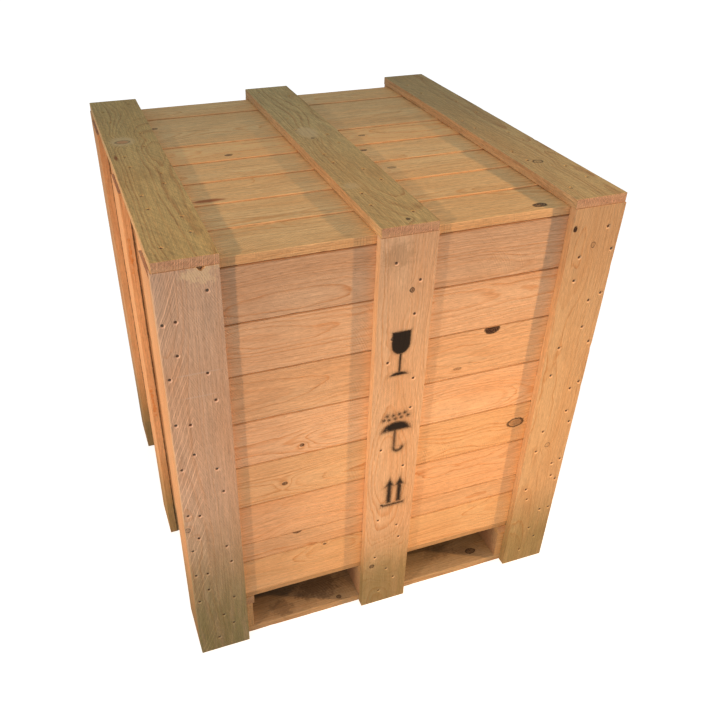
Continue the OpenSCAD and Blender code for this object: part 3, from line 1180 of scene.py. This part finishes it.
LEFT_BATTEN_PATCHES = patches_on(
    BATTEN_FACE,
    (-331, 862, 30, 22, 4, TORN_WOOD, 0.72),
    (-346, 690, 50, 2, 0.8, HAZE, 0.55),
    (-348, 646, 38, 1.8, 0.8, HAZE, 0.45),
)
FRONT_BATTEN_PATCHES = patches_on(
    BATTEN_FACE,
    (-20, 836, 34, 30, 2.2, SMUDGE, 0.32),
    # Painted shade at the middle batten's foot.
    (0, 50, 80, 120, 1, PAINTED_FOOT_SHADE, 0.45),
)
LID_PATCHES = patches_on(LID_BOARD_FACE, (-265, -170, 34, 9, 0.5, RED_WOOD, 0.85))
LID_BATTEN_PATCHES = patches_on(
    LID_BATTEN_FACE,
    (-365, 120, 28, 32, 0.7, PALE_HAZE, 0.75),
    (-365, 117, 15, 12, 0.4, RED_KNOT, 0.9),
    (-12, 62, 26, 44, 1, PALE_HAZE, 0.5),
    (-31, -225, 20, 18, 1, PALE_HAZE, 0.35),
    (-388, 34, 4, 17, 0.8, RED_WOOD, 0.8),
)
BASE_PATCHES = patches_on(
    BASE_FACE,
    (-130, -330, 60, 40, 2.6, STAIN, 0.5),
    (-215, -360, 30, 24, 2.6, STAIN, 0.4),
    (165, -330, 44, 24, 2.6, STAIN, 0.32),
    (225, -345, 26, 14, 2.2, STAIN, 0.3),
)
# Painted shade: a dark strip on the left wall beside its middle batten, and along the left battens' edges
# next to the boards.
LEFT_WALL_PATCHES = [((-0.383, -0.066, 0.490), (0.020, 0.022, 0.900), 1.4, GAP_SHADE, 0.6)]
SIDE_BATTEN_PATCHES = [
    ((-0.3832, 0.000, 0.490), (0.0038, 0.950, 0.950), 1, GAP_SHADE, 0.9),
    ((-0.394, -0.050, 0.732), (0.003, 0.004, 0.028), 7, CHIPPED, 0.6),
    ((-0.394, -0.050, 0.392), (0.003, 0.004, 0.040), 7, CHIPPED, 0.6),
]
print("patches on the lid's battens:", len(LID_BATTEN_PATCHES))

# %% mix the finishes of the walls
dark_seam = (SEAM_DIRT, 0.85, 0.0016)
dirty_arris = (SEAM_DIRT, 0.5)
board_saws = [saw(0.06, lean=0.7, arc=5, spacing=0.0050, cover=0.42)]
turned_board_saws = [
    saw(0.50, lean=2.5, arc=0, spacing=0.0220, cover=0.95, fold=-0.012, one_side=1, thin=18),
    saw(0.09, lean=2.2, arc=0, spacing=0.0085, cover=0.75, fold=-0.014),
]
front_pine = pine(
    "front_wall_pine", KNOTS["front wall"], (), 0.0040, 0.012, 0.72, board_saws,
    arris=dirty_arris, seam=dark_seam,
)
wall_pine = pine(
    "wall_pine", (), LEFT_WALL_PATCHES, 0.0042, 0.012, 0.50, board_saws,
    rare_knots=0.86, arris=dirty_arris, seam=dark_seam,
)
left_batten_pine = pine(
    "left_front_batten_pine", KNOTS["front battens"], LEFT_BATTEN_PATCHES, 0.0050, 0.010, 0.34,
    turned_board_saws, grime=(1, 0.46), fibre=1.6,
)
batten_pine = pine(
    "front_batten_pine", KNOTS["front battens"], FRONT_BATTEN_PATCHES, 0.0042, 0.012, 0.62,
    [saw(0.07, lean=1.6, arc=4, spacing=0.0060, cover=0.38)], grime=(0.7, 0.26), signs=signs_tree,
)
side_batten_pine = pine(
    "side_batten_pine", (), SIDE_BATTEN_PATCHES, 0.0046, 0.011, 0.40,
    [saw(0.08, lean=-0.6, arc=9, spacing=0.0052, cover=0.45)],
    grime=(0.7, 0.3), rare_knots=0.88, seam=(SEAM_DIRT, 0.6, 0.0016),
)

# %% mix the finishes of the lid and the base
# The lid boards' arrises and seams get a painted highlight, where their edges catch the lamps.
lid_pine = pine(
    "lid_board_pine", KNOTS["lid boards"], LID_PATCHES, 0.0038, 0.011, 0.70,
    [saw(0.14, lean=0.6, arc=3, spacing=0.0046, cover=0.55)],
    arris=(LIT_SEAM, 1), seam=(LIT_SEAM, 0.6, 0.0016), fibre=1.7,
)
lid_batten_pine = pine(
    "lid_batten_pine", KNOTS["lid battens"], LID_BATTEN_PATCHES, 0.0054, 0.012, 0.56,
    [saw(0.50, lean=1.5, arc=3, spacing=0.0050, cover=0.95, thin=5)],
    late_wood=RED_GRAIN, fibre=1.9,
)
# The base takes painted shade deep inside, between its blocks.
base_pine = pine(
    "base_pine", KNOTS["base"], BASE_PATCHES, 0.0042, 0.010, 0.72,
    [saw(0.08, lean=0.5, arc=3, spacing=0.006, cover=0.5)],
    grime=(0.35, 0.3), rare_knots=0.80, inside=0.60,
)

# %% mix the nail steel
steel, b, shader = new_material("nail_steel")
place = b.node("ShaderNodeTexCoord").outputs["Object"]
rust = b.fade(b.noise(place, 260, 3), 0.35, 0.60)
b.give(
    shader, Base_Color=b.blend(rust, BARE_STEEL, RUST),
    Metallic=b.fade(rust, 0, 1, 0.8, 0.1), Roughness=b.fade(rust, 0, 1, 0.5, 0.85),
)
for node in ("body_nails", "lid_nails"):
    nails = frame["nodes"][node]
    nails.data.materials.clear()
    nails.data.materials.append(steel)
print("nails are steel")

# %% [markdown]
# ## Dressing the crate
#
# Every timber is now built over its CAD solid. The grain follows its length, and a plan says which
# finish it takes; the plan's groups also set how far one long edge lies low. The grouped nodes of
# the base hold several timbers each, so they are taken apart first.

# %% dress the walls, the lid and the base
PLAN = {
    "wall_board": [
        ("front_board_", "x", front_pine), ("right_board_", "y", wall_pine),
        ("back_board_", "x", wall_pine), ("left_board_", "y", wall_pine),
    ],
    "wall_batten": [
        ("front_batten_left", "z", left_batten_pine), ("front_batten_middle", "z", batten_pine),
        ("front_batten_right", "z", batten_pine), ("right_batten_", "z", side_batten_pine),
        ("back_batten_", "z", side_batten_pine), ("left_batten_", "z", side_batten_pine),
    ],
    "lid_board": [("lid_board_", "x", lid_pine)],
    "lid_batten": [("lid_batten_", "y", lid_batten_pine)],
    "base_timber": [
        ("bottom_boards", "x", base_pine), ("blocks", "x", base_pine),
        ("bearers", "y", base_pine), ("deck_boards", "x", base_pine),
    ],
}
FIRST_SEED = 100

made = 0
for slot, starts in PLAN.items():
    for start, grain, finish in starts:
        for node in sorted(n for n in frame["nodes"] if n.startswith(start)):
            parts = loose_parts(node)
            for number, part in enumerate(parts):
                name = f"sawn_{node}" + (f"_{number + 1}" if len(parts) > 1 else "")
                dress(name, node, part, grain, slot, finish, FIRST_SEED + made)
                made += 1
print("timbers dressed:", made)
